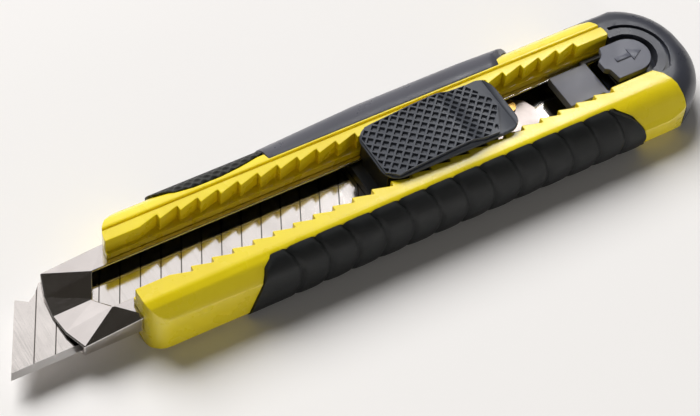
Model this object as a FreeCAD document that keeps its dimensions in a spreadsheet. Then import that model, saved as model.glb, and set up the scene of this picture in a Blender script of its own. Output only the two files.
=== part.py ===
"""Snap-off utility knife: steel blade channel in a moulded casing, ratchet rails,
thumb slider with a scored blade, spare-blade magazine and a pull-off end cap.

Frame: +X towards the end cap, +Y towards the blade's spine, +Z up through the slider.
The back of the casing lies on Z = 0 and the origin is the centre of that back face.
Every sub-part is drawn with X counted from the front of the steel nose, then placed.
"""
import FreeCAD, Part
import math
import os
import Sketcher
from FreeCAD import Placement, Rotation, Vector

doc = FreeCAD.newDocument("SnapOffKnife")

# ---------------------------------------------------------------- sizes (mm)
SIZES = [
    # named clearances
    ("clearance", 0.3), ("blade_fit", 0.15), ("seat", 0.1), ("seam", 0.25),
    # blade
    ("blade_long", 100.0), ("blade_wide", 18.0), ("blade_thick", 0.5), ("blade_slant", 9.2),
    ("bevel_wide", 1.35), ("score_deep", 0.1), ("score_wide", 0.3), ("peg_r", 1.8),
    # steel channel
    ("steel", 0.6), ("lip_half", 4.6), ("hood_lift", 0.9),
    # moulded casing
    ("tail_x", 147.5), ("body_front", 12.5), ("side_wall", 4.05), ("flare", 2.1),
    ("floor_wall", 1.6), ("bow_room", 0.8), ("mag_front", 22.0), ("corner_round", 4.5), ("far_round", 8.2),
    ("tail_round", 15.0), ("foot_high", 5.0), ("shoulder_low", 6.2),
    # ratchet rails
    ("pitch", 4.5), ("tooth_set", 0.75), ("tooth_depth", 1.3), ("ledge_high", 1.6),
    ("rail_high", 3.5), ("groove_wide", 0.45), ("groove_deep", 0.5),
    # grips
    ("grip_proud", 0.5), ("far_proud", 1.4), ("far_limit", 0.9), ("finger_proud", 0.8), ("core_wall", 2.75),
    ("rib_first", 45.0), ("rib_pitch", 6.4),
    ("rib_wide", 0.9), ("rib_floor", -0.3),
    # slider
    ("pawl_x", 87.4), ("shoe_thick", 2.1), ("pad_shift", 1.5), ("pad_over", 0.95),
    ("boss_half", 2.6), ("pawl_long", 3.2), ("pawl_back", 0.2), ("leaf", 0.6),
]
# places and fits that follow from the sizes above
DERIVED = {
    "centre_x": "tail_x/2+0.25", "body_end": "tail_x+2.5", "wide_x": "tail_x-29.5",
    # across the knife
    "channel_half": "blade_wide/2+blade_fit+steel", "tunnel_half": "channel_half+seat",
    "mag_half": "blade_wide/2+clearance", "shoe_half": "blade_wide/2-0.2",
    "front_half": "tunnel_half+side_wall", "rear_half": "front_half+flare",
    "crown_half": "rear_half-6", "foot_half": "rear_half-4.5",
    "grip_top_y": "rear_half-5", "far_top_y": "rear_half-6.1", "grip_core": "tunnel_half+core_wall",
    "neck_half": "lip_half-clearance", "ledge_half": "lip_half+1",
    "carrier_half": "ledge_half-clearance", "tooth_tip": "ledge_half+tooth_set",
    "groove_y": "tooth_tip+2.55", "pad_half": "tooth_tip+pad_over",
    "tongue_half": "ledge_half-1", "tongue_wide": "tongue_half+1.4", "plug_half": "lip_half-0.2",
    # up through the knife
    "mag_low": "floor_wall", "tunnel_low": "mag_low+blade_thick*2+bow_room+0.25",
    "channel_low": "tunnel_low+seat", "blade_low": "channel_low+steel+blade_fit",
    "hood_low": "blade_low+blade_thick+blade_fit+steel", "shoe_low": "blade_low+blade_thick+seat",
    "shoe_top": "shoe_low+shoe_thick", "lip_top": "shoe_top+clearance+steel",
    "tunnel_top": "lip_top+seat", "ledge_top": "tunnel_top+ledge_high",
    "body_top": "ledge_top+rail_high", "carrier_top": "body_top-0.1",
    "pad_low": "body_top+clearance", "crest_top": "pad_low+2.6", "pawl_low": "ledge_top+0.2",
    "pawl_high": "body_top-1.5", "cap_top": "body_top-1", "plug_low": "shoe_top",
    "plug_top": "tunnel_top+1.2",
    # along the knife
    "hood_back": "body_front+1.2", "channel_end": "tail_x-19.5",
    "spigot_front": "channel_end+0.7", "tooth_first": "pawl_x-pitch*14",
    "peg_x": "pawl_x-7.4", "blade_tip": "peg_x+5.1-blade_long",
    "carrier_front": "pawl_x-17.9", "carrier_rear": "pawl_x+9.1", "foot_front": "pawl_x-20.4",
    "pad_front": "pawl_x-18.7", "pad_rear": "pawl_x+13.6", "crest_x": "pawl_x+0.6",
    "boss_front": "pawl_x-11.4", "boss_rear": "pawl_x-6.4", "spring_tail": "pawl_x+23.1",
    "tongue_x": "tail_x-14.5", "plug_front": "tail_x-32", "plug_rear": "tail_x-22.5",
}
sheet = doc.addObject("Spreadsheet::Sheet", "Sizes")
size = {}
for line_no, (alias, value) in enumerate(SIZES, start=1):
    sheet.set("A%d" % line_no, alias)
    sheet.set("B%d" % line_no, "%g" % value)
    sheet.setAlias("B%d" % line_no, alias)
    size[alias] = value
doc.recompute()


def terms(text, scale=1.0):
    """Split 'pitch*3-seam+2' into (factor, sheet name or number), following derived names."""
    plain = str(text).replace("--", "+").replace("+-", "-").replace("-+", "-")
    for term in plain.replace("-", "+-").split("+"):
        if term:
            factor = -scale if term.startswith("-") else scale
            name = term.lstrip("-")
            if "*" in name:
                name, times = name.split("*")
                factor *= float(times)
            elif "/" in name:
                name, parts = name.split("/")
                factor /= float(parts)
            if name in DERIVED:
                yield from terms(DERIVED[name], factor)
            else:
                yield factor, name


def num(text):
    """The value of a sum of sheet names and numbers."""
    return sum(k * (size[name] if name in size else float(name)) for k, name in terms(text))


def bound(text):
    """The same sum as a FreeCAD expression."""
    return " + ".join("%.6g * %s" % (k, "Sizes." + name if name in size else name)
                      for k, name in terms(text))


def mirrored(text):
    """The same sum with every sign turned."""
    plain = ("+" + text).replace("+-", "-")
    return "".join({"-": "+", "+": "-"}.get(c, c) for c in plain)


def bind(obj, **sizes):
    """Set each property and tie it to the sheet."""
    for prop, text in sizes.items():
        setattr(obj, prop, num(text))
        obj.setExpression(prop, bound(text))
    return obj


# ---------------------------------------------------------------- sketches
PLANES = {"XY": "XY_Plane", "XZ": "XZ_Plane", "YZ": "YZ_Plane"}


def new_body(name):
    return doc.addObject("PartDesign::Body", name)


def outline(body, name, plane, points, level="0"):
    """A closed line profile; each corner is tied to the sheet. XZ levels run towards -Y."""
    sketch = body.newObject("Sketcher::SketchObject", name)
    origin = [o for o in body.Origin.OriginFeatures if o.Role == PLANES[plane]][0]
    sketch.AttachmentSupport = [(origin, "")]
    sketch.MapMode = "FlatFace"
    sketch.AttachmentOffset = Placement(Vector(0, 0, num(level)), Rotation())
    sketch.setExpression("AttachmentOffset.Base.z", bound(level))
    flat = [Vector(num(u), num(v), 0) for u, v in points]
    count = len(flat)
    for i in range(count):
        sketch.addGeometry(Part.LineSegment(flat[i], flat[(i + 1) % count]), False)
    for i in range(count):
        sketch.addConstraint(Sketcher.Constraint("Coincident", i, 2, (i + 1) % count, 1))
    for i, (u, v) in enumerate(points):
        for axis, kind, text in (("u", "DistanceX", u), ("v", "DistanceY", v)):
            value = num(text)
            k = sketch.addConstraint(Sketcher.Constraint(kind, -1, 1, i, 1, value))
            sketch.renameConstraint(k, "%s%d" % (axis, i))
            sketch.setExpression("Constraints.%s%d" % (axis, i), bound(text))
    return sketch


def disc(body, name, plane, u, v, radius, level="0"):
    """A circle profile."""
    sketch = body.newObject("Sketcher::SketchObject", name)
    origin = [o for o in body.Origin.OriginFeatures if o.Role == PLANES[plane]][0]
    sketch.AttachmentSupport = [(origin, "")]
    sketch.MapMode = "FlatFace"
    sketch.AttachmentOffset = Placement(Vector(0, 0, num(level)), Rotation())
    sketch.setExpression("AttachmentOffset.Base.z", bound(level))
    sketch.addGeometry(Part.Circle(Vector(num(u), num(v), 0), Vector(0, 0, 1), num(radius)), False)
    for label, kind, args, text in (
            ("u", "DistanceX", (-1, 1, 0, 3), u), ("v", "DistanceY", (-1, 1, 0, 3), v),
            ("r", "Radius", (0,), radius)):
        k = sketch.addConstraint(Sketcher.Constraint(kind, *args, num(text)))
        sketch.renameConstraint(k, label)
        sketch.setExpression("Constraints." + label, bound(text))
    return sketch


def pad(body, sketch, length, name, both=False):
    feature = body.newObject("PartDesign::Pad", name)
    feature.Profile = sketch
    bind(feature, Length=length)
    feature.Midplane = both
    body.Tip = feature
    return feature


def pocket(body, sketch, length, name, both=False, flip=False):
    feature = body.newObject("PartDesign::Pocket", name)
    feature.Profile = sketch
    bind(feature, Length=length)
    feature.Midplane = both
    feature.Reversed = flip
    body.Tip = feature
    return feature


def row(body, feature, sketch, count, step, name):
    """Repeat a feature along X, the first axis of its level sketch."""
    pattern = body.newObject("PartDesign::LinearPattern", name)
    pattern.Originals = [feature]
    pattern.Direction = (sketch, ["H_Axis"])
    pattern.Mode = "Extent"
    pattern.Length = (count - 1) * num(step)
    pattern.setExpression("Length", "%d * Sizes.%s" % (count - 1, step))
    pattern.Occurrences = count
    body.Tip = pattern
    return pattern


def soften(body, kind, prop, text, test, name):
    """Fillet or chamfer the edges of the body's tip that pass the test."""
    doc.recompute()
    base = body.Tip
    picked = []
    for i, edge in enumerate(base.Shape.Edges, start=1):
        if test(edge):
            picked.append("Edge%d" % i)
    feature = body.newObject(kind, name)
    feature.Base = (base, picked)
    bind(feature, **{prop: text})
    body.Tip = feature
    doc.recompute()
    return feature


def prism(name, plane, points, length, level="0", both=False, flip=False):
    """A stand-alone cutting or bounding solid."""
    body = new_body(name)
    sketch = outline(body, name + "_sketch", plane, points, level)
    feature = pad(body, sketch, length, name + "_pad", both)
    feature.Reversed = flip
    return body


def bar(name, radius, x, y, low, length):
    """An upright pin, drawn as a padded disc."""
    body = new_body(name)
    pad(body, disc(body, name + "_disc", "XY", x, y, radius, low), length, name + "_pad")
    return body


def common(name, base, tool):
    obj = doc.addObject("Part::Common", name)
    obj.Base, obj.Tool = base, tool
    return obj


def cut(name, base, tool):
    obj = doc.addObject("Part::Cut", name)
    obj.Base, obj.Tool = base, tool
    return obj


def fuse(name, *shapes):
    obj = doc.addObject("Part::MultiFuse", name)
    obj.Shapes = list(shapes)
    obj.Refine = True
    return obj


def box(name, x0, x1, y0, y1, z0, z1):
    """A block between six levels, all tied to the sheet."""
    obj = doc.addObject("Part::Box", name)
    for prop, lo, hi in (("Length", x0, x1), ("Width", y0, y1), ("Height", z0, z1)):
        setattr(obj, prop, num(hi) - num(lo))
        obj.setExpression(prop, "(%s) - (%s)" % (bound(hi), bound(lo)))
    obj.Placement.Base = Vector(num(x0), num(y0), num(z0))
    for axis, text in (("x", x0), ("y", y0), ("z", z0)):
        obj.setExpression("Placement.Base." + axis, bound(text))
    return obj


def rod(name, radius, x, y, z0, z1):
    """An upright round bar."""
    obj = doc.addObject("Part::Cylinder", name)
    bind(obj, Radius=radius)
    obj.Height = num(z1) - num(z0)
    obj.setExpression("Height", "(%s) - (%s)" % (bound(z1), bound(z0)))
    obj.Placement.Base = Vector(num(x), num(y), num(z0))
    for axis, text in (("x", x), ("y", y), ("z", z0)):
        obj.setExpression("Placement.Base." + axis, bound(text))
    return obj


# ---------------------------------------------------------------- outer form
# shoulder and foot sections: Y past the widest half, and the height
SHOULDER = [("-4.4", "body_top-0.6"), ("-2.6", "body_top-2.4"), ("-1", "body_top-4.9"),
            ("1", "shoulder_low")]
FOOT = [("-2.4", "0.7"), ("-0.8", "2.3"), ("1", "foot_high")]


def beside(sign, past, proud):
    """A Y place counted from the widest half, on one side."""
    place = "rear_half+%s+%s" % (past, proud)
    return mirrored(place) if sign else place


def outer_form(name, proud, top):
    """The handle's outer form: tapered plan, bevelled shoulders, turned-under foot."""
    body = new_body(name)
    plan = [("body_front-" + proud, "-front_half-" + proud),
            ("wide_x", "-rear_half-" + proud), ("tail_x+" + proud, "-rear_half-" + proud),
            ("tail_x+" + proud, "rear_half+" + proud), ("wide_x", "rear_half+" + proud),
            ("body_front-" + proud, "front_half+" + proud)]
    pad(body, outline(body, name + "_plan", "XY", plan), top, name + "_block")
    for side, sign in (("near", "-"), ("far", "")):
        out = "-" if sign else "+"
        shoulder = [(sign + "crown_half" + out + proud, "body_top")]
        shoulder += [(beside(sign, y, proud), z) for y, z in SHOULDER]
        shoulder += [(sign + "30", "shoulder_low"), (sign + "30", "body_top+9"),
                     (sign + "crown_half", "body_top+9")]
        pocket(body, outline(body, name + "_shoulder_" + side, "YZ", shoulder), "400",
               name + "_shoulder_cut_" + side, both=True)
        foot = [(sign + "foot_half" + out + proud, "0")]
        foot += [(beside(sign, y, proud), z) for y, z in FOOT]
        foot += [(sign + "30", "foot_high"), (sign + "30", "-5"), (sign + "foot_half", "-5")]
        pocket(body, outline(body, name + "_foot_" + side, "YZ", foot), "400",
               name + "_foot_cut_" + side, both=True)

    def front_corner(edge):
        bb = edge.BoundBox
        return bb.ZLength > 2.5 and bb.XLength < 0.01 and bb.YLength < 0.01 and bb.XMin < 20

    def tail_corner(edge):
        bb = edge.BoundBox
        return bb.ZLength > 2.5 and bb.XLength < 0.01 and bb.YLength < 0.01 and bb.XMin > 100

    soften(body, "PartDesign::Fillet", "Radius", "tail_round", tail_corner, name + "_tail")
    soften(body, "PartDesign::Fillet", "Radius", "corner_round", front_corner, name + "_corner")
    return body


NODES = []


def node(label, obj):
    """Name a finished sub-part and set it in the row frame."""
    obj.Label = label
    if obj.TypeId == "PartDesign::Body":
        obj.Placement.Base = Vector(-num("centre_x"), 0, 0)
    else:
        obj.Placement = Placement(Vector(-num("centre_x"), 0, 0), Rotation())
    NODES.append(obj)
    return obj


# ---------------------------------------------------------------- shared bounds
# the joint line between casing and end cap, far side to near side
SEAM = [("tail_x-20.5", "rear_half+1.5"), ("tail_x-19.9", "rear_half-1.4"),
        ("tail_x-16.9", "rear_half-4.6"), ("tail_x-15.9", "ledge_half+2.4"),
        ("tail_x-15.9", "-2"), ("tail_x-13.9", "-ledge_half-0.1"), ("tail_x-11.7", "-8"),
        ("tail_x-10.5", "-rear_half+5"), ("tail_x-9.5", "-rear_half+2"),
        ("tail_x-9.3", "-rear_half-1.5")]


def behind_seam(name, gap):
    points = [(x + "+" + gap, y) for x, y in SEAM]
    points += [("tail_x+20", "-rear_half-4"), ("tail_x+20", "rear_half+4")]
    return prism(name, "XY", points, "60", both=True)


def side_skin(name, side, top_y, core_z):
    """The layer outside the moulded core, from the shoulder line round to the foot."""
    points = [(top_y, "body_top+2"), (top_y, core_z), ("grip_core", "body_top-3.9"),
              ("grip_core", "1.6"), ("rear_half-4.8", "0.8"), ("rear_half-4.8", "-2"),
              ("rear_half+5", "-2"), ("rear_half+5", "body_top+2")]
    if side == "near":
        points = [(mirrored(y), z) for y, z in points]
    else:
        points[-2:] = [("rear_half+far_limit", "-2"), ("rear_half+far_limit", "body_top+2")]
    return prism(name, "YZ", points, "400", both=True)


# side view outlines of the grip panels
NEAR_PANEL = [("body_front+20.1", "-1"), ("body_front+23.8", "body_top-3.6"),
              ("body_front+24.9", "body_top-1.5"), ("body_front+27.0", "body_top-0.3"),
              ("body_front+29.5", "body_top+1.7"),
              ("tail_x-30.5", "body_top+1.7"), ("tail_x-26.5", "body_top-0.5"),
              ("tail_x-23.1", "body_top-2.4"), ("tail_x-20.8", "body_top-5.5"),
              ("tail_x-20.1", "3"), ("tail_x-19.9", "-1")]
FAR_PANEL = [("body_front+38.2", "-1"), ("body_front+38.2", "body_top+1.7"),
             ("tail_x-43.5", "body_top+1.7"), ("tail_x-39.5", "body_top-2.1"),
             ("tail_x-35.5", "body_top-4.7"), ("tail_x-33.9", "body_top-7.3"),
             ("tail_x-33.7", "-1")]
near_region = common("near_region", prism("near_side", "XZ", NEAR_PANEL, "80", both=True),
                     side_skin("near_skin", "near", "grip_top_y", "body_top-2.1"))
far_region = common("far_region", prism("far_side", "XZ", FAR_PANEL, "80", both=True),
                    side_skin("far_skin", "far", "far_top_y", "body_top-2.9"))
# plan of the knurled finger pad ahead of the far grip
FINGER_PLAN = [("body_front+12.7", "rear_half-0.8"), ("body_front+14.1", "rear_half-2.8"),
               ("body_front+17.5", "rear_half-4.8"), ("body_front+21.5", "rear_half-5.6"),
               ("body_front+27.5", "rear_half-5.7"), ("body_front+32.5", "rear_half-5.1"),
               ("body_front+38.1", "rear_half-3.9"), ("body_front+38.1", "rear_half+4"),
               ("body_front+12.7", "rear_half+4")]
finger_region = common("finger_region", prism("finger_plan", "XY", FINGER_PLAN, "60", both=True),
                       side_skin("finger_skin", "far", "rear_half-5.8", "body_top-1.3"))

# ---------------------------------------------------------------- casing
shell = outer_form("casing_form", "0", "body_top")


def through(name, half, low, high):
    points = [("-" + half, low), (half, low), (half, high), ("-" + half, high)]
    return pocket(shell, outline(shell, name + "_section", "YZ", points), "400", name, both=True)


# the far front corner is drawn in with a longer round than the near one
far_corner = [("body_front-4", "front_half+0.15-far_round"), ("body_front", "front_half+0.15-far_round")]
for angle in range(10, 90, 10):
    back, out = (round(1 - math.cos(math.radians(angle)), 4), round(1 - math.sin(math.radians(angle)), 4))
    far_corner.append(("body_front+far_round*%g" % back, "front_half+0.15-far_round*%g" % out))
far_corner += [("body_front+far_round", "front_half+0.15"), ("body_front+far_round", "front_half+4"),
               ("body_front-4", "front_half+4")]
pocket(shell, outline(shell, "far_corner_plan", "XY", far_corner), "40", "far_corner_cut", both=True)
through("slider_slot", "ledge_half", "tunnel_low", "body_top+2")
through("tooth_slot", "tooth_tip", "ledge_top", "body_top+2")
through("blade_tunnel", "tunnel_half", "tunnel_low", "tunnel_top")
magazine = outline(shell, "magazine_plan", "XY",
                   [("mag_front", "-mag_half"), ("body_end", "-mag_half"),
                    ("body_end", "mag_half"), ("mag_front", "mag_half")], "mag_low")
pocket(shell, magazine, "tunnel_low-mag_low", "magazine", flip=True)
trim = outline(shell, "rim_groove_plan", "XY",
               [("body_front-5", "groove_y"), ("body_end", "groove_y"),
                ("body_end", "groove_y+groove_wide"), ("body_front-5", "groove_y+groove_wide")],
               "body_top")
pocket(shell, trim, "groove_deep", "rim_groove")
TEETH = int((num("tail_x") - 23 - num("tooth_first")) / num("pitch")) + 1
for side, sign in (("near", "-"), ("far", "")):
    out = "-" if sign else "+"
    notch = outline(shell, "notch_plan_" + side, "XY",
                    [("tooth_first-pitch", sign + "tooth_tip"),
                     ("tooth_first-pitch", sign + "ledge_half"),
                     ("tooth_first", sign + "ledge_half"),
                     ("tooth_first", sign + "tooth_tip" + out + "tooth_depth")], "ledge_top")
    first = pocket(shell, notch, "6", "notch_" + side, flip=True)
    row(shell, first, notch, TEETH, "pitch", "notches_" + side)
doc.recompute()
panels = fuse("panel_regions", near_region, far_region, finger_region)
panels.Refine = False
trimmed = cut("casing_trimmed", shell, behind_seam("casing_end", "0"))
node("casing", cut("casing", trimmed, panels))

# ---------------------------------------------------------------- grips
near_form = outer_form("near_grip_form", "grip_proud", "body_top+0.4")
near_blank = common("near_grip_blank", near_form, near_region)
ribs = new_body("ribs")
EDGE = [
    ("-2.6", "body_top+1.7"),
    ("-1.1", "body_top-2.3"),
    ("0", "body_top/2+0.35"),
    ("-0.7", "3"),
    ("-2.2", "-1"),
]
rib_plan = outline(ribs, "rib_plan", "XZ",
                   [("rib_first" + (x if x < "0" else "+" + x), z) for x, z in EDGE] +
                   [("rib_first+rib_wide" + (x if x < "0" else "+" + x), z) for x, z in EDGE[::-1]])
rib_one = pad(ribs, rib_plan, "80", "rib_one", both=True)
RIBS = int((num("tail_x") - 20.5 - num("rib_first")) / num("rib_pitch")) + 1
row(ribs, rib_one, rib_plan, RIBS, "rib_pitch", "rib_row")
rib_cut = cut("rib_cut", ribs, outer_form("rib_floor_form", "rib_floor", "body_top"))
node("near_grip", cut("near_grip", near_blank, rib_cut))
far_form = outer_form("far_grip_form", "far_proud", "body_top")
node("far_grip", common("far_grip", far_form, far_region))
finger_form = outer_form("finger_form", "finger_proud", "body_top")
node("knurled_pad", common("knurled_pad", finger_form, finger_region))

# ---------------------------------------------------------------- steel channel
channel = new_body("channel_run")
section = [("-channel_half", "channel_low"), ("channel_half", "channel_low"),
           ("channel_half", "lip_top"), ("lip_half", "lip_top"), ("lip_half", "lip_top-steel"),
           ("channel_half-steel", "lip_top-steel"), ("channel_half-steel", "channel_low+steel"),
           ("-channel_half+steel", "channel_low+steel"), ("-channel_half+steel", "lip_top-steel"),
           ("-lip_half", "lip_top-steel"), ("-lip_half", "lip_top"), ("-channel_half", "lip_top")]
pad(channel, outline(channel, "channel_section", "YZ", section, "hood_back"),
    "channel_end-hood_back", "channel_pad")


def facet_solid(triangles, floor):
    """A solid under a triangulated top, with upright sides down to the floor level."""
    faces = []
    sides = {}
    for tri in triangles:
        low = [Vector(p[0], p[1], floor) for p in tri]
        top = [Vector(*p) for p in tri]
        faces.append(Part.Face(Part.makePolygon(top + top[:1])))
        faces.append(Part.Face(Part.makePolygon(low + low[:1])))
        for i in range(3):
            key = frozenset((tri[i], tri[(i + 1) % 3]))
            sides[key] = None if key in sides else (tri[i], tri[(i + 1) % 3])
    for pair in sides.values():
        if pair:
            a, b = pair
            loop = [Vector(*a), Vector(*b), Vector(b[0], b[1], floor), Vector(a[0], a[1], floor)]
            faces.append(Part.Face(Part.makePolygon(loop + loop[:1])))
    solid = Part.makeSolid(Part.makeShell(faces))
    if solid.Volume < 0:
        solid.reverse()
    return solid


def hood_top(side, inset, drop):
    """One half of the pressed nose: dipped middle, raised corners, bevelled shoulders."""
    edge = side * (num("channel_half") - inset)
    lip = side * (num("lip_half") - inset)
    low = num("hood_low") - drop
    high = num("lip_top") - drop
    back = num("hood_back") + inset
    front = (-2.0 - inset, 0.0, low)
    bow = (-1.5 - inset, side * num("channel_half-4.75"), low + num("hood_lift*0.42"))
    corner = (0.0 - inset, edge, low + num("hood_lift"))
    crease = (num("hood_back-7.2") + inset, 0.0, low + 0.1)
    peak = (num("hood_back-5"), lip, high)
    rear_out = (back, edge, high)
    rear_in = (back, lip, high)
    return [(front, bow, crease), (bow, corner, peak), (bow, peak, crease),
            (corner, rear_out, peak), (peak, rear_out, rear_in)]


hood_skin = hood_top(1, 0, 0) + hood_top(-1, 0, 0)
hood_void = hood_top(1, size["steel"], size["steel"]) + hood_top(-1, size["steel"], size["steel"])
outside = doc.addObject("Part::Feature", "hood_outside")
outside.Shape = facet_solid(hood_skin, num("channel_low"))
inside = doc.addObject("Part::Feature", "hood_inside")
inside.Shape = facet_solid(hood_void, num("channel_low+steel"))
hood = cut("hood", outside, inside)
hood_floor = box("hood_floor", "0", "hood_back", "-channel_half", "channel_half",
                 "channel_low", "channel_low+steel")
node("blade_channel", fuse("blade_channel", channel, hood, hood_floor))
rivet_near = rod("rivet_near", "1.4", "body_front+5", "-6", "1", "channel_low+steel")
rivet_far = rod("rivet_far", "1.4", "body_front+5", "6", "1", "channel_low+steel")
node("channel_rivets", fuse("channel_rivets", rivet_near, rivet_far))

# ---------------------------------------------------------------- blade
blade = new_body("blade")
half = "blade_wide/2"
blade_plan = [
    ("blade_tip", "-" + half),
    ("blade_tip+8.35", half + "-1.6"),
    ("blade_tip+10.6", half + "-3.2"),
    ("blade_tip+12.5", half + "-2"),
    ("blade_tip+14.1", half),
    ("blade_tip+blade_long", half),
    ("blade_tip+blade_long", "-" + half),
]
pad(blade, outline(blade, "blade_plan", "XY", blade_plan, "blade_low"), "blade_thick",
    "blade_plate")
BEVELS = (("top", "blade_low+blade_thick", "0.23", "1"), ("under", "blade_low", "-0.23", "-1"))
for face, level, dip, away in BEVELS:
    inner = level + "-" + dip if not dip.startswith("-") else level + "+" + dip[1:]
    outer = level + "+" + away if not away.startswith("-") else level + away
    bevel = [("-" + half + "+bevel_wide", level), ("-" + half, inner),
             ("-" + half + "-1", inner), ("-" + half + "-1", outer),
             ("-" + half + "+bevel_wide", outer)]
    pocket(blade, outline(blade, "bevel_" + face, "YZ", bevel), "400", "bevel_cut_" + face,
           both=True)
SCORES = int((num("blade_long") - num("blade_slant")) / num("pitch"))
line = outline(blade, "score_plan", "XY",
               [("blade_tip+pitch", "-" + half), ("blade_tip+pitch+score_wide", "-" + half),
                ("blade_tip+pitch+blade_slant+score_wide", half),
                ("blade_tip+pitch+blade_slant", half)], "blade_low+blade_thick")
score = pocket(blade, line, "score_deep", "score")
row(blade, score, line, SCORES, "pitch", "scores")
peg_hole = disc(blade, "peg_hole_plan", "XY", "peg_x", "0", "peg_r+0.2", "blade_low-1")
pocket(blade, peg_hole, "4", "peg_hole", flip=True)
node("blade", blade)

# ---------------------------------------------------------------- spare blades
SPARE_PLAN = [("mag_front+1", "-" + half), ("mag_front+1+blade_slant", half),
              ("mag_front+1+blade_long", half), ("mag_front+1+blade_long", "-" + half)]
spare_low = prism("spare_low", "XY", SPARE_PLAN, "blade_thick", "mag_low+0.15")
spare_high = prism("spare_high", "XY", SPARE_PLAN, "blade_thick", "mag_low+blade_thick+0.25")
node("spare_blades", fuse("spare_blades", spare_low, spare_high))
LOW = "tunnel_low-0.7"
bow = [("mag_front+6", LOW), ("mag_front+28", LOW + "+0.35"), ("mag_front+50", LOW),
       ("mag_front+72", LOW + "+0.35"), ("mag_front+94", LOW), ("mag_front+94", LOW + "+0.25"),
       ("mag_front+72", LOW + "+0.6"), ("mag_front+50", LOW + "+0.25"),
       ("mag_front+28", LOW + "+0.6"), ("mag_front+6", LOW + "+0.25")]
node("magazine_spring", prism("magazine_spring", "XZ", bow, "8", both=True))

# ---------------------------------------------------------------- blade carrier
shoe = box("shoe", "foot_front", "carrier_rear", "-shoe_half", "shoe_half", "shoe_low",
           "shoe_top")
neck = box("neck", "carrier_front", "carrier_rear", "-neck_half", "neck_half", "shoe_top-0.1",
           "lip_top+0.6")
tower = box("tower", "carrier_front", "carrier_rear", "-carrier_half", "carrier_half",
            "lip_top+0.4", "carrier_top")
carrier_solid = fuse("carrier_solid", shoe, neck, tower)
boss_well = box("boss_well", "boss_front-0.4", "boss_rear+pad_shift+0.4", "-boss_half-0.3",
                "boss_half+0.3", "carrier_top-2", "carrier_top+1")
spring_well = box("spring_well", "boss_rear", "pawl_x-0.9", "-1.1", "1.1", "carrier_top-2",
                  "carrier_top+1")
leaf_seat = box("leaf_seat", "pawl_x+2.6", "carrier_rear+1", "-6.1", "6.1", "shoe_low-1",
                "shoe_low+leaf+0.2")
pawl_slot = box("pawl_slot", "pawl_x-pawl_back-pawl_long-0.2", "pawl_x-pawl_back+0.2", "-6", "6",
                "pawl_low-0.2", "pawl_high+0.2")
pawl_web = box("pawl_web", "pawl_x-6", "pawl_x+2", "-2.3", "2.3", "pawl_low-1", "carrier_top+1")
pawl_slots = cut("pawl_slots", pawl_slot, pawl_web)
wells = fuse("carrier_wells", boss_well, spring_well, leaf_seat, pawl_slots)
wells.Refine = False
node("blade_carrier", cut("blade_carrier", carrier_solid, wells))
node("blade_peg", bar("blade_peg", "peg_r", "peg_x", "0", "blade_low+0.05",
                      "blade_thick+shoe_thick-0.35"))

for side, sign in (("near", "-"), ("far", "")):
    tip = [("pawl_x-pawl_back-pawl_long", sign + "2.6"), ("pawl_x-pawl_back", sign + "2.6"),
           ("pawl_x-pawl_back", sign + "tooth_tip" + ("+" if sign else "-") + "0.25"),
           ("pawl_x-pawl_back-pawl_long", sign + "tooth_tip" + ("+" if sign else "-") + "0.95")]
    node(side + "_pawl", prism(side + "_pawl", "XY", tip, "pawl_high-pawl_low", "pawl_low"))

# leaf with a rounded tail, and the glide rivet that runs on the channel floor
leaf_plan = [("pawl_x+2.8", "-6"), ("spring_tail-4", "-6"), ("spring_tail-1", "-4"),
             ("spring_tail", "-1.5"), ("spring_tail", "1.5"), ("spring_tail-1", "4"),
             ("spring_tail-4", "6"), ("pawl_x+2.8", "6")]
leaf_body = prism("lock_spring", "XY", leaf_plan, "leaf", "shoe_low+0.1")
node("lock_spring", leaf_body)
node("glide_rivet", bar("glide_rivet", "1.5", "pawl_x+18", "3.6", "blade_low+0.4", "leaf+1.1"))

# ---------------------------------------------------------------- thumb pad
PROFILE = [("pad_front", "pad_low"), ("pad_rear", "pad_low"), ("pad_rear", "pad_low+0.9"),
           ("pad_rear-1.8", "pad_low+1.6"), ("pad_rear-5.5", "pad_low+1.3"),
           ("crest_x+3.5", "pad_low+1.4"), ("crest_x", "crest_top"),
           ("crest_x-6", "pad_low+2.2"), ("crest_x-14", "pad_low+1.4"),
           ("pad_front+1.1", "pad_low+0.9"), ("pad_front", "pad_low+0.5")]
thumb = new_body("thumb_pad")
pad(thumb, outline(thumb, "pad_profile", "XZ", PROFILE), "pad_half*2", "pad_block", both=True)


def pad_corner(edge):
    bb = edge.BoundBox
    upright = bb.XLength < 0.01 and bb.YLength < 0.01 and bb.ZLength > 0.2
    return upright and abs(abs(bb.YMin) - num("pad_half")) < 0.01


soften(thumb, "PartDesign::Fillet", "Radius", "3.6", pad_corner, "pad_corners")
boss = outline(thumb, "boss_plan", "XY",
               [("boss_front", "-boss_half"), ("boss_rear", "-boss_half"),
                ("boss_rear", "boss_half"), ("boss_front", "boss_half")], "carrier_top-1.6")
pad(thumb, boss, "clearance+1.9", "boss")
node("thumb_pad", thumb)

helix = doc.addObject("Part::Helix", "spring_line")
bind(helix, Radius="0.7", Pitch="0.75", Height="4.2")
ring = doc.addObject("Part::Circle", "spring_wire")
bind(ring, Radius="0.14")
ring.Placement = Placement(Vector(0.7, 0, 0), Rotation(Vector(1, 0, 0), 90))
coil = doc.addObject("Part::Sweep", "pad_return_spring")
coil.Sections = [ring]
coil.Spine = (helix, [])
coil.Solid = True
coil.Frenet = True
node("pad_return_spring", coil)
coil.Placement = Placement(Vector(num("boss_rear+0.6-centre_x"), 0, num("carrier_top-0.85")),
                           Rotation(Vector(0, 1, 0), 90))

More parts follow.
